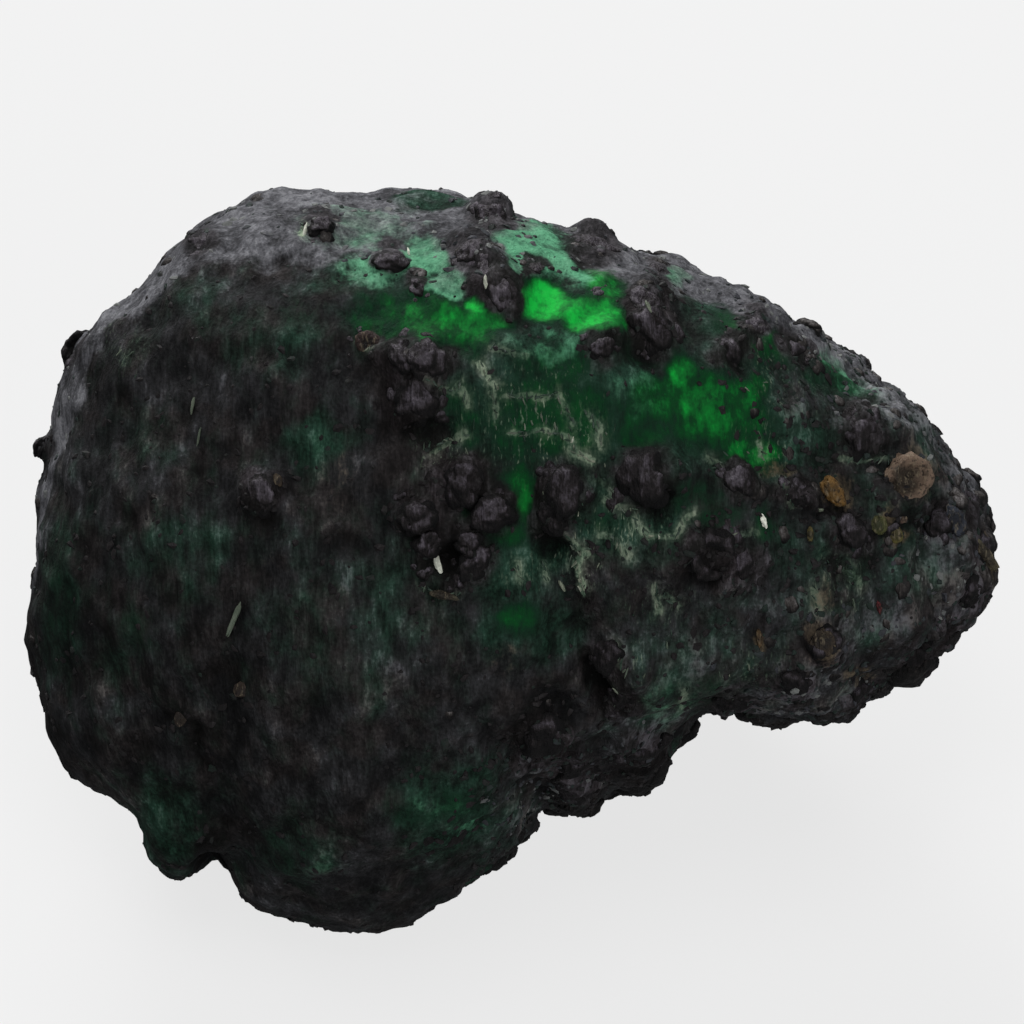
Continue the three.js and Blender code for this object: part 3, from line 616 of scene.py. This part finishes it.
    # mica on the knots' feet, and iron stain over knot and schist alike
    micaceous = colours(tree, tone, MICA, (6, 5, 5), (17, 14, 14), (28, 24, 25), (52, 47, 50), (86, 81, 87))
    colour = blend(tree, times(tree, knot, 0.8), colour, micaceous)
    rusty = colours(
        tree, tone, (0.25, 0.5, 0.7, 0.9), (16, 12, 9), (46, 40, 31), (78, 68, 53), (106, 95, 77)
    )
    iron = added(tree, swing, 1.2, stain)
    iron = times(tree, between(tree, iron, 0.2, 0.9), between(tree, stain, 0.0, 0.2))
    colour = blend(tree, iron, colour, rusty)

    roughness = between(tree, depth, 0.3, 0.9, 0.85, 0.7)
    relief = mask_of(tree, WEATHERING, Patches=0.0, Streaks=1.0, Upward=0.0, Seed=0.0)
    height = times(tree, relief, between(tree, depth, 0.3, 0.8, 1.0, 0.4))
    finish(tree, colour, roughness, height, relief=0.11, shine=0.1)
    return material


stone.data.materials.append(emerald_schist())
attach(stone, "root")
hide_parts("rough_emerald")

# ---- The mica knots ----
# Lumps of packed biotite mica that stand out of the schist like peppercorns, purplish brown, with a painted
# grey sheen on top and painted shade at the foot. They grew in the rock and are still held by it: each is
# sunk over half deep.
random.seed(41)
KNOT_FLATNESS = 0.62
SUNK = 0.42  # of the radius, from the stone's skin to the knot's middle
FAR_OUT = 30 * MM  # in front of the stone's middle, clear of its broad face
# Knots on the far side, where the plain solid stands this proud, in mm: how far apart, how far
# behind the middle they start, how high above the table, radius, and how deep sunk, in radii.
FAR_KNOTS = {
    "proud": 0.16, "apart": 2.0, "behind": 3.5, "above": 0.9, "radius": (0.5, 0.95), "sunk": 0.52
}

skin = face_places([v.co[:] for v in stone.data.vertices])


def on_stone(across, up):
    """The stone's skin at a place on the broad face, or on its rim."""
    hit = stone_tree.ray_cast(at_girdle(across, up) + OUT * FAR_OUT, -OUT)[0]
    if hit is None or (hit - MIDDLE).dot(OUT) < -6 * MM:
        nearest = np.argmin(np.hypot(skin[:, 0] - across, skin[:, 1] - up))
        hit = stone.data.vertices[nearest].co.copy()
    return hit


def steady_direction(point, reach):
    """The mean outward direction of the stone's skin within a reach."""
    total = Vector()
    for _, normal, _, _ in stone_tree.find_nearest_range(point, reach):
        total += normal
    return total.normalized()


def set_on(point, direction, turn, lean=0.0):
    """A frame at a point with z along a direction, turned about it and leant over."""
    place = Matrix.Translation(point) @ direction.to_track_quat("Z", "Y").to_matrix().to_4x4()
    return place @ Matrix.Rotation(turn, 4, "Z") @ Matrix.Rotation(lean, 4, "X")


def add_knot(
    shape, point, radius, fineness, stretch, beaded=0.22, dimple=0.0, turn=None, squarely=0.0, sunk=SUNK
):
    """One lumpy knot of mica, sunk into the skin. Its points remember how much painted shade they carry, at
    the foot and in a hollow top.
    """
    made = bmesh.ops.create_icosphere(shape, subdivisions=fineness, radius=1.0)["verts"]
    seed = Vector([random.uniform(-90, 90) for _ in range(3)])
    painted_shade = []
    for vert in made:
        spot = vert.co * radius / MM
        swell = noise.noise(vert.co * 1.3 + seed) * (1 - 0.7 * squarely)
        beads = noise.voronoi((spot + 0.2 * noise.noise_vector(spot * 2)) / 0.55 + seed)[0][0]
        reach = 1.0 + 0.36 * swell + beaded * (0.4 - min(beads, 1) ** 1.6) / max(radius / MM, 0.5)
        reach += 0.13 * noise.noise(vert.co * 3.1 + seed) + 0.05 * noise.noise(spot * 6 + seed)
        opening = vert.co.xy.length + 0.34 * (1 - squarely) * noise.noise(vert.co * 1.5 - seed)
        sunken = max(0.0, 1 - (opening / 0.66) ** 2) if dimple and vert.co.z > 0 else 0.0
        # painted shade: darker at the knot's foot and in a hollow top
        painted_shade.append(max(float(smooth_step(0.62, 0.25, vert.co.z)), sunken))
        foot = max(0.0, -vert.co.z)  # below its middle a knot widens and runs down into the rock
        vert.co = vert.co * reach * stretch
        vert.co *= Vector((1 + 0.3 * foot, 1 + 0.3 * foot, 1 + 0.8 * foot))
        vert.co.z -= dimple * sunken
    direction = steady_direction(point, max(radius, 0.3 * MM))
    direction = (direction + 2 * squarely * OUT).normalized()
    turned = random.uniform(0, math.tau) if turn is None else turn
    place = set_on(point - direction * sunk * (1 - 2.2 * squarely) * radius, direction, turned)
    bmesh.ops.transform(shape, matrix=place @ Matrix.Scale(radius, 4), verts=made)
    return made, painted_shade


def lumpy():
    return Vector((random.uniform(0.95, 1.3), random.uniform(0.8, 1.05), KNOT_FLATNESS))


# Knots whose tops have broken out: middle along the face and up it, and how deep, in radii.
HOLLOW_TOPS = {(10.4, 0.2): 0.5}
knots = bmesh.new()
painted_shade = []
for across, up, radius in KNOTS:
    dimple = HOLLOW_TOPS.get((across, up), 0.0)
    painted_shade += add_knot(knots, on_stone(across, up), radius * 0.80 * MM, 4, lumpy(), dimple=dimple)[1]
    for _ in range(random.choice((0, 1, 2, 2))):
        turn, away = random.uniform(0, math.tau), random.uniform(0.75, 1.3) * radius
        beside = on_stone(across + away * math.cos(turn), up + away * math.sin(turn))
        painted_shade += add_knot(knots, beside, random.uniform(0.25, 0.45) * radius * MM, 3, lumpy())[1]
taken = [at_girdle(across, up) for across, up, _ in KNOTS]
for index in np.argsort(-proud):
    if proud[index] < FAR_KNOTS["proud"]:
        break
    point = Vector(stone.data.vertices[index].co)
    if places[index, 2] > -FAR_KNOTS["behind"] or point.z < FAR_KNOTS["above"] * MM:
        continue
    if any((point - other).length < FAR_KNOTS["apart"] * MM for other in taken):
        continue
    taken.append(point)
    radius = random.uniform(*FAR_KNOTS["radius"]) * MM
    painted_shade += add_knot(knots, point, radius, 4, lumpy(), sunk=FAR_KNOTS["sunk"])[1]
knot_tree = BVHTree.FromBMesh(knots)
mica_knots = put_in_scene("mica_knots", knots, {"painted_shade": painted_shade})


def mica(name, seed, *shades):
    material, tree = new_material(name)
    # Painted light and shade: tops that face up are lighter, a painted sheen, and the foot and any hollow
    # top are darker, painted shade.
    tone = mask_of(tree, WEATHERING, Patches=0.4, Streaks=0.5, Upward=0.36, Seed=seed)
    tone = added(tree, marking(tree, "painted_shade"), -0.35, tone)
    height = mask_of(tree, WEATHERING, Patches=0.0, Streaks=1.0, Upward=0.0, Seed=seed)
    colour = colours(tree, tone, MICA, *shades)
    finish(tree, colour, between(tree, tone, 0.3, 0.8, 0.85, 0.55), height, relief=0.18, shine=0.25)
    return material


mica_knots.data.materials.append(
    mica("dark_mica", 15.0, (4, 3, 4), (13, 10, 11), (27, 22, 24), (60, 55, 61), (98, 92, 100))
)
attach(mica_knots, "root")

# ---- The small knots and the grit ----
# Smaller knots of the same mica, and loose crumbs of mica, schist and beryl that cling to the crust.
# They lie thickest on the pointed end, along the broken lower edge and round the big knots.
SMALL_KNOTS = 260
GRIT = 6400
GRIT_SIZE = (0.07, 0.21)  # mm, radius
HANDFUL = 1200  # points in the chips that are shaped at one time
CLEAR_OF_REST = 0.4 * MM  # above the table, below which nothing clings


def skin_spots(count, least):
    """Places on the stone's skin, picked more often where it is ragged: point, direction, raggedness."""
    faces = stone.data.polygons
    found = []
    while len(found) < count:
        face = faces[random.randrange(len(faces))]
        corner = face.vertices[0]
        weight = least + 0.55 * ragged[corner] + 0.35 * knot[corner] - 0.5 * window[corner]
        if random.random() < weight and face.center.z > CLEAR_OF_REST:
            found.append((face.center.copy(), face.normal.copy(), corner))
    return found


# Knots on the rim, which show in the stone's outline: along the face, up it, and radius, in mm.
RIM_KNOTS = [
    (11.75, -7.5, 0.55), (12.8, -7.7, 0.45), (14.5, -7.5, 0.6), (16.1, -7, 0.65), (17.1, -6.7, 0.5),
    (18.4, -6.3, 0.5), (19.8, -5.7, 1.05), (20.4, -5, 0.5), (21.2, -3.9, 0.6), (21.9, -3, 0.5),
    (22.8, -1.85, 0.6), (23.5, -0.8, 0.6), (23.8, 0.55, 0.6), (23.6, 1.85, 0.65), (22.9, 3.1, 0.6),
    (22.35, 3.8, 0.45), (9.9, -8.4, 0.5), (8.6, -9.9, 0.8), (7.4, -10.6, 0.7), (6.4, -10.8, 0.5),
    (5.4, -11.6, 0.5), (4.3, -11.6, 0.7), (3.1, -12, 0.7), (2.3, -12.9, 0.5), (1.5, -13.7, 0.5),
    (0.5, -14.3, 0.45), (-0.7, -15.1, 0.4), (-2.1, -16, 0.4), (-14.3, 13.7, 0.4), (8.1, 14.2, 0.45),
    (15.9, 10.7, 0.4), (14.7, 11.4, 0.45), (-20.5, 2.5, 0.35), (-20.7, -0.7, 0.3), (-20.6, -3.7, 0.35),
    (-20.3, -6.5, 0.35), (-18.9, -9.9, 0.4), (-10.6, 16.7, 0.4), (18.6, 8.9, 0.4), (20.3, 7.2, 0.4),
]
small = bmesh.new()
painted_shade = []


def paler_towards_tip(across, depths):
    """The knots' painted shade, less of it towards the pointed end, where they are paler."""
    return [depth - 0.3 * float(smooth_step(8, 16, across)) for depth in depths]


for across, up, radius in RIM_KNOTS:
    for _ in range(2):
        size = radius * random.uniform(0.7, 1.1) * MM
        point = on_stone(across + random.gauss(0, 0.3), up + random.gauss(0, 0.2))
        painted_shade += paler_towards_tip(across, add_knot(small, point, size, 3, lumpy(), 0.2)[1])
for point, _, corner in skin_spots(SMALL_KNOTS, 0.02):
    size = random.uniform(0.22, 0.5) * MM
    painted_shade += paler_towards_tip(places[corner, 0], add_knot(small, point, size, 2, lumpy(), 0.12)[1])
small_knots = put_in_scene("small_knots", small, {"painted_shade": painted_shade})
small_knots.data.materials.append(
    mica("brown_mica", 31.0, (6, 5, 5), (16, 14, 14), (30, 26, 25), (56, 52, 50), (94, 90, 90))
)
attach(small_knots, "root")


def add_chip(shape, place, size, jag):
    """One angular chip."""
    made = bmesh.ops.create_icosphere(shape, subdivisions=1, radius=1.0)["verts"]
    for vert in made:
        vert.co = (vert.co + Vector([random.uniform(-jag, jag) for _ in range(3)])) * size
    bmesh.ops.transform(shape, matrix=place, verts=made)
    return len(made)


def pour(handful, shape):
    """Adds a handful of chips to the rest: small handfuls are quick to shape."""
    mesh = bpy.data.meshes.new("handful")
    handful.to_mesh(mesh)
    handful.clear()
    shape.from_mesh(mesh)
    bpy.data.meshes.remove(mesh)


grit_shape, handful = bmesh.new(), bmesh.new()
tones = []
for point, direction, corner in skin_spots(GRIT, 0.16):
    radius = random.uniform(*GRIT_SIZE) * random.uniform(0.6, 1.15) * MM
    size = Vector((radius * random.uniform(0.9, 1.7), radius, radius * random.uniform(0.5, 0.9)))
    turn, lean = random.uniform(0, math.tau), random.gauss(0, 0.4)
    place = set_on(point - direction * 0.2 * radius, direction, turn, lean)
    # Grit is paler under the dust and painted backlight of the shoulder, and on the worn places, which are
    # partly painted light.
    paler = 0.5 * dust_and_backlight[corner] + 0.5 * worn_and_lit[corner] * ragged[corner]
    tone = min(max(random.gauss(0.22 + paler, 0.10 + 0.3 * paler), 0), 1)
    tones += [tone] * add_chip(handful, place, size, 0.28)
    if len(handful.verts) > HANDFUL:
        pour(handful, grit_shape)
pour(handful, grit_shape)
grit = put_in_scene("grit", grit_shape, {"tone": tones}, smooth=False)


def chips(name, roughness, steps, *shades):
    """A finish for loose chips, each of its own colour out of a row of colours."""
    material, tree = new_material(name)
    grain = mottled(tree, 0.2, 3.0, 2.0)
    tone = swung(tree, grain, 0.35, marking(tree, "tone"))
    dull = between(tree, grain, 0.3, 0.7, roughness - 0.12, roughness + 0.12)
    finish(tree, colours(tree, tone, steps, *shades), dull, grain, relief=0.05, shine=0.25, strength=0.8)
    return material


grit.data.materials.append(chips(
    "crumbs", 0.7, (0.0, 0.3, 0.5, 0.75, 1.0),
    (12, 10, 11), (26, 22, 23), (24, 38, 32), (52, 52, 58), (104, 106, 104),
))
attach(grit, "root")

# ---- The pale splinters ----
# Cream and pale green splinters of quartz and shattered beryl, standing on edge in the cracks that
# cross the middle of the broad face. The first three single ones are painted glints, the first two near
# white, and a long one lies by itself.
SPLINTER_STEP = 0.17  # mm along a crack, from one splinter to the next
# Single splinters: along the face, up it, half width, half length, turn in degrees, how pale.
LONE_SPLINTERS = [
    (-1.85, -0.15, 0.15, 0.5, 4, 0.95), (12.75, 1.8, 0.13, 0.32, 0, 1.0), (15.3, 2.3, 0.08, 0.2, 62, 0.6),
    (-10.95, -2.5, 0.11, 0.95, -17, 0.5), (16.9, -1.9, 0.06, 0.2, 0, 0.45), (-3.2, 13.9, 0.06, 0.2, 0, 0.9),
    (0.3, 12.5, 0.08, 0.3, 12, 0.85), (7.6, 11.4, 0.08, 0.3, 20, 0.6), (-7.9, 14.9, 0.07, 0.4, 0, 0.9),
    (-12.9, 7.0, 0.07, 0.4, 0, 0.55), (-12.6, 5.6, 0.05, 0.4, 0, 0.5), (3.7, -1.1, 0.08, 0.3, 20, 0.7),
]


def legs_of(points):
    return [(Vector(b) - Vector(a)).length for a, b in zip(points, points[1:])]


def along(points, share):
    """The place a share of the way along a crack, and the crack's direction there."""
    legs = legs_of(points)
    left = share * sum(legs)
    for leg, start, end in zip(legs, points, points[1:]):
        if left <= leg or end is points[-1]:
            way = (Vector(end) - Vector(start)).normalized()
            return Vector(start) + way * left, way
        left -= leg


splinter_shape = bmesh.new()
pale = []


def add_sliver(spot, width, lie, brightness):
    """One thin splinter on the skin, pointing along a direction on the face."""
    point = on_stone(spot.x, spot.y)
    direction = steady_direction(point, 0.35 * MM)
    half = Vector((random.uniform(0.3, 0.6) * (0.08 + 0.12 * width), random.uniform(0.12, 0.3), 0.04))
    place = set_on(point, direction, lie + random.gauss(0, 0.25), random.gauss(0, 0.35))
    tone = min(max(random.gauss(0.62 * brightness, 0.16), 0), 0.85)
    pale.extend([tone] * add_chip(splinter_shape, place, half * MM, 0.3))


for points, width, brightness in CRACKS:
    length = sum(legs_of(points))
    for index in range(int(length / SPLINTER_STEP) + 1):
        if random.random() > 0.45 + 0.5 * brightness:
            continue
        spot, way = along(points, min(1, (index + random.random()) * SPLINTER_STEP / length))
        spot += Vector((random.gauss(0, 0.3 * width), random.gauss(0, 0.3 * width)))
        lie = 0.0 if random.random() < 0.25 else math.atan2(way.y, way.x) - math.pi / 2
        add_sliver(spot, width, lie, brightness)
for across, up, width, height, share, *_ in SHATTERED:
    for _ in range(int(4 * width * height * share)):
        spot = Vector((random.gauss(across, 0.5 * width), random.gauss(up, 0.5 * height)))
        add_sliver(spot, 0.0, 0.0, random.uniform(0.3, 0.8))
skins = [stone_tree, knot_tree]
for across, up, half_width, half_length, turn, brightness in LONE_SPLINTERS:
    start = at_girdle(across, up) + OUT * FAR_OUT
    heights = [(start - hit).length for hit in (tree.ray_cast(start, -OUT)[0] for tree in skins) if hit]
    point = start - OUT * min(heights)
    direction = (steady_direction(point, 0.5 * MM) + 2 * OUT).normalized()
    size = Vector((half_width, half_length, 0.12)) * MM
    place = set_on(point + direction * 0.1 * MM, direction, math.radians(turn))
    made = bmesh.ops.create_icosphere(splinter_shape, subdivisions=3, radius=1.0)["verts"]
    for vert in made:
        ripple = 1 + 0.5 * noise.noise(vert.co * 1.5 + Vector((across, up, 0)))
        vert.co = vert.co * ripple * size
    bmesh.ops.transform(splinter_shape, matrix=place, verts=made)
    pale += [brightness] * len(made)
splinters = put_in_scene("pale_splinters", splinter_shape, {"tone": pale}, smooth=False)
# The palest shade, near white, is a painted glint on the two brightest single splinters.
splinters.data.materials.append(chips(
    "quartz", 0.5, (0.0, 0.3, 0.55, 0.8, 1.0),
    (26, 42, 34), (48, 66, 54), (90, 98, 84), (134, 138, 120), (236, 238, 224),
))
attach(splinters, "root")

# ---- The iron-stained knots ----
# Knots near the pointed end that have rusted: one with a hollow top and a tan rim, an orange one
# beside it, and a few yellow-green, tan and red specks. Iron out of the mica has coloured them.
SQUARE_ON = 0.55  # how nearly they face straight out of the broad face
HEART = (0.42, 0.8)  # of the half length, over which the heart's colour gives way to the rim's
# Each is: along the face, up it, half width, half length, turn, height, hollow top, rim, heart.
RUSTED = [
    (19.3, 3.65, 1.08, 1.12, 20, 0.9, 0.7, (110, 92, 78), (48, 41, 34)),
    (15.95, 3.15, 0.44, 0.74, 22, 0.5, 0, (110, 82, 42), (96, 72, 38)),
    (18.05, 1.65, 0.36, 0.44, 10, 0.45, 0, (72, 74, 42), (52, 54, 36)),
    (18.85, 1.2, 0.3, 0.42, 0, 0.45, 0, (86, 80, 42), (58, 54, 34)),
    (19.2, 1.9, 0.2, 0.2, 0, 0.5, 0, (90, 72, 64), (60, 48, 42)),
    (23.1, 0.3, 0.26, 0.95, 8, 0.35, 0, (84, 79, 62), (54, 50, 42)),
    (21.7, 1.8, 0.5, 0.7, 0, 0.5, 0, (52, 56, 65), (32, 34, 40)),
    (18.1, -2.1, 0.12, 0.3, 0, 0.5, 0, (92, 40, 43), (70, 30, 32)),
    (12.6, -3.5, 0.14, 0.4, 0, 0.4, 0, (94, 74, 50), (68, 54, 38)),
    (15.5, -3.7, 0.5, 0.6, 0, 0.5, 0, (56, 48, 40), (34, 30, 27)),
    (-10.7, -5.8, 0.3, 0.36, 0, 0.4, 0, (56, 46, 42), (40, 34, 31)),
    (-13.5, -7.1, 0.3, 0.4, 0, 0.4, 0, (50, 42, 38), (34, 29, 27)),
    (-5, 9.8, 0.55, 0.5, 0, 0.5, 0.3, (48, 36, 34), (18, 13, 13)),
    (-9, 3.6, 0.2, 0.3, 0, 0.4, 0, (60, 50, 38), (40, 34, 30)),
    (14.9, 1.2, 0.14, 0.3, 0, 0.4, 0, (84, 76, 44), (50, 46, 32)),
    (-1.6, -1.5, 0.18, 0.6, 84, 0.5, 0, (70, 66, 54), (44, 40, 34)),
]
rusted_shape = bmesh.new()
rust_colours = []
for across, up, half_width, half_length, turn, height, dimple, rim, heart in RUSTED:
    fineness = 4 if half_length > 0.5 else 3
    point = on_stone(across, up)
    stretch = Vector((half_width / half_length, 1.0, height))
    made, _ = add_knot(
        rusted_shape, point, half_length * MM, fineness, stretch, 0.2, dimple, math.radians(turn), SQUARE_ON
    )
    middle = sum((v.co for v in made), Vector()) / len(made)
    for vert in made:
        off = vert.co - middle
        away = (off - OUT * off.dot(OUT)).length / (half_length * MM)
        share = float(smooth_step(*HEART, away + 0.25 * noise.noise(vert.co / MM * 2.5)))
        rust_colours.append([a + (b - a) * share for a, b in zip(linear(*heart), linear(*rim))])
rusted = put_in_scene("rusted_knots", rusted_shape)
rusted.data.color_attributes.new("rust", "FLOAT_COLOR", "POINT").data.foreach_set(
    "color", np.array(rust_colours).ravel()
)


def rust():
    material, tree = new_material("iron_stain")
    own = node(tree, "Attribute", attribute_name="rust").outputs["Color"]
    patch = mottled(tree, 0.5, 51.0)
    grain = mottled(tree, 0.14, 53.0, 2.0)
    dash = leaves(tree, 0.16, 0.6, 55.0)
    colour = blend(tree, between(tree, patch, 0.5, 0.66, 0, 0.6), own, linear(44, 37, 28))
    colour = blend(tree, between(tree, dash, 0.52, 0.68, 0, 0.45), colour, linear(138, 126, 104))
    colour = blend(tree, between(tree, grain, 0.48, 0.32, 0, 0.75), colour, linear(18, 15, 12))
    roughness = between(tree, grain, 0.3, 0.7, 0.6, 0.85)
    finish(tree, colour, roughness, maths(tree, "ADD", dash, grain), relief=0.12, shine=0.2)
    return material


rusted.data.materials.append(rust())
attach(rusted, "root")

# ---- The table, the light and the camera ----
# A plain pale table under soft light from behind, from above and, low down, from the front right.
# The camera looks straight at the broad face.
TABLE_REACH = 2.0  # metres from the middle to each side
FRAME_WIDTH = 47.2 * MM  # what the camera takes in at the stone's middle
AIM = (1.475, 2.21)  # where it aims: mm along the face and up it, from the middle
floor_shape = bmesh.new()
bmesh.ops.create_grid(floor_shape, x_segments=1, y_segments=1, size=TABLE_REACH)
floor = put_in_scene("table", floor_shape, smooth=False)
paper = bpy.data.materials.new("paper")
paper.use_nodes = True
for name, value in {
    "Base Color": (0.12, 0.12, 0.12, 1), "Roughness": 0.9, "Specular IOR Level": 0.0,
    "Emission Color": (1.0, 1.0, 1.0, 1), "Emission Strength": 0.75,
}.items():
    paper.node_tree.nodes["Principled BSDF"].inputs[name].default_value = value
floor.data.materials.append(paper)
floor.visible_diffuse = False
floor.visible_glossy = False


def softbox(name, toward, distance, size, watts):
    light = bpy.data.lights.new(name, "AREA")
    light.size = size
    light.energy = watts
    lamp = bpy.data.objects.new(name, light)
    lamp.location = MIDDLE + Vector(toward).normalized() * distance
    lamp.rotation_euler = (-Vector(toward)).to_track_quat("-Z", "Y").to_euler()
    link(lamp)


softbox("window_light", (-0.25, 0.86, 0.46), 0.5, 0.26, 2.5)
softbox("top_light", (-0.1, 0.0, 1.0), 0.5, 0.3, 1.0)
softbox("low_light", (0.7, -1.0, 0.16), 0.6, 0.5, 1.85)

world = bpy.data.worlds.new("room")
world.use_nodes = True
backdrop = world.node_tree.nodes["Background"].inputs
backdrop["Color"].default_value = (0.95, 0.97, 1.0, 1)
backdrop["Strength"].default_value = 0.25
bpy.context.scene.world = world
bpy.context.scene.view_settings.view_transform = "Standard"

camera_data = bpy.data.cameras.new("camera")
camera_data.lens = 300
camera_data.clip_start = 0.01
camera = bpy.data.objects.new("camera", camera_data)
camera.location = at_girdle(*AIM) + OUT * (FRAME_WIDTH * camera_data.lens / camera_data.sensor_width)
camera.rotation_euler = (-OUT).to_track_quat("-Z", "Y").to_euler()
link(camera)
bpy.context.scene.camera = camera
